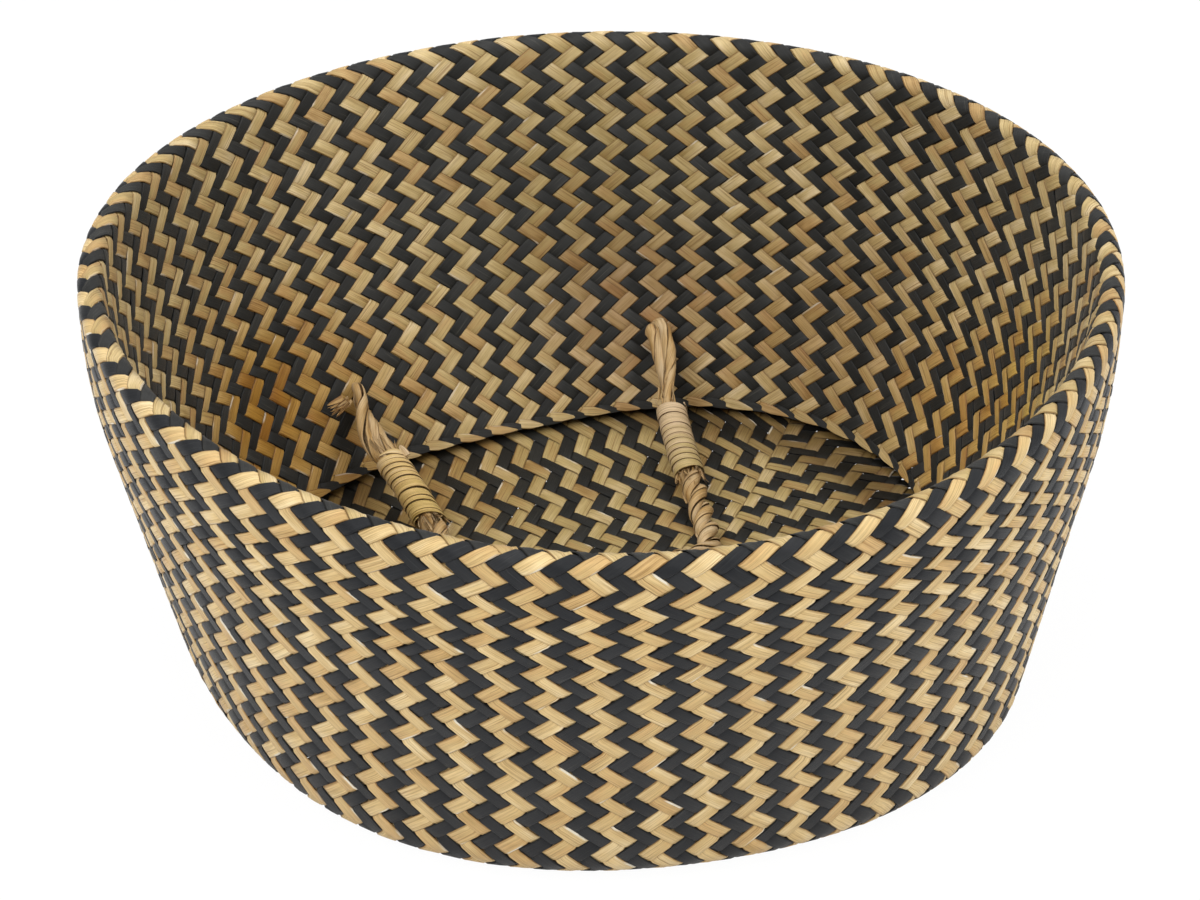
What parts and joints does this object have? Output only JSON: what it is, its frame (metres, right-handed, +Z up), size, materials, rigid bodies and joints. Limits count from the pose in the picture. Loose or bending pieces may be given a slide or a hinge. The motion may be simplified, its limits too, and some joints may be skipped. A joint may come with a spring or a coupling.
{
  "type": "belly basket",
  "caption": "Plaited seagrass belly basket with a black and natural zigzag, its upper half folded down inside, and a rope bail on each side.",
  "frame": {"origin": "on the ground, at the middle of the basket's footprint", "axes": "+Z up along the basket's axis; +Y points away from the picture's viewer"},
  "size_m": [0.3576, 0.3649, 0.1532],
  "materials": {
    "outer_plait": "satin",
    "inner_plait": "satin",
    "rope": "matte",
    "lashing": "matte"
  },
  "bodies": {
    "basket": {"base_mat": "inner_plait", "outer_wall": "outer_plait", "fold_rim": "outer_plait", "inner_wall": "inner_plait", "mouth_hem": "inner_plait"},
    "far_handle": {"far_handle_rope": "rope", "far_left_lashing": "lashing", "far_right_lashing": "lashing"},
    "near_handle": {"near_handle_rope": "rope", "near_left_lashing": "lashing", "near_right_lashing": "lashing"}
  },
  "joints": [
    {"name": "far_handle_hinge", "type": "hinge", "parent": "basket", "child": "far_handle", "pos_m": [-0.03861, 0.10272, 0.03014], "axis": [-0.9261, -0.3774, 0], "range_deg": [0, 110]},
    {"name": "near_handle_hinge", "type": "hinge", "parent": "basket", "child": "near_handle", "pos_m": [0.04038, -0.10567, 0.03014], "axis": [0.9319, 0.3626, 0], "range_deg": [0, 110]}
  ]
}
